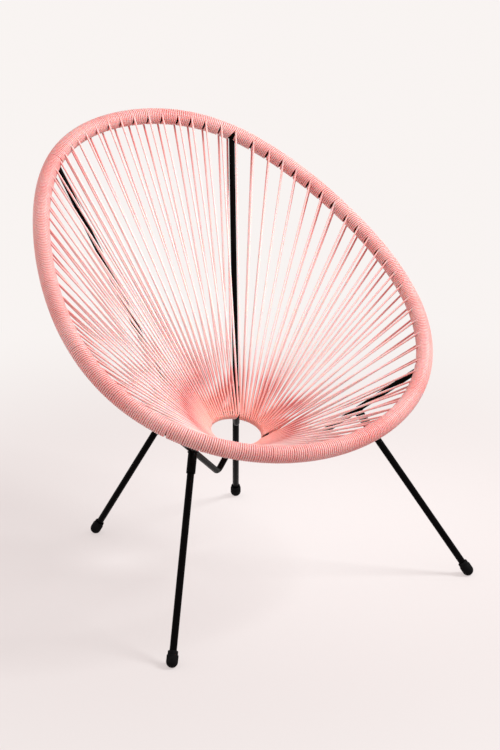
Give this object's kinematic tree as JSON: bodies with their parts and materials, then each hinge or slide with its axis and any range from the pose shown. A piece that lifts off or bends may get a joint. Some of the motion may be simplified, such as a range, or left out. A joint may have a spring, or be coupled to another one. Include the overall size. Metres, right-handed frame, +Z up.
{
  "type": "acapulco chair",
  "caption": "Round lounge chair: a leaning egg-shaped steel rim wound and strung with plastic cord down to a small seat ring, on four splayed plug-in rod legs with rubber feet.",
  "frame": {"origin": "on the floor, under the middle of the rim's outline seen from above", "axes": "+Z up, the front of the chair towards -Y, +X to the right as seen from the front"},
  "size_m": [0.7618, 0.7619, 0.8518],
  "materials": {
    "painted_steel": "satin",
    "pink_cord": "satin",
    "black_rubber": "matte"
  },
  "bodies": {
    "root": {"rim_tube": "painted_steel", "seat_ring": "painted_steel", "arm_front_right": "painted_steel", "leg_sleeve_front_right": "painted_steel", "leg_front_right": "painted_steel", "foot_cap_front_right": "black_rubber", "arm_back_right": "painted_steel", "leg_sleeve_back_right": "painted_steel", "leg_back_right": "painted_steel", "foot_cap_back_right": "black_rubber", "arm_back_left": "painted_steel", "leg_sleeve_back_left": "painted_steel", "leg_back_left": "painted_steel", "foot_cap_back_left": "black_rubber", "arm_front_left": "painted_steel", "leg_sleeve_front_left": "painted_steel", "leg_front_left": "painted_steel", "foot_cap_front_left": "black_rubber", "cord_front_1": "pink_cord", "cord_front_2": "pink_cord", "cord_front_3": "pink_cord", "cord_front_4": "pink_cord", "cord_right_1": "pink_cord", "cord_right_2": "pink_cord", "cord_right_3": "pink_cord", "cord_right_4": "pink_cord", "cord_back_1": "pink_cord", "cord_back_2": "pink_cord", "cord_back_3": "pink_cord", "cord_left_1": "pink_cord", "cord_left_2": "pink_cord", "cord_left_3": "pink_cord", "cord_left_4": "pink_cord"}
  },
  "joints": []
}
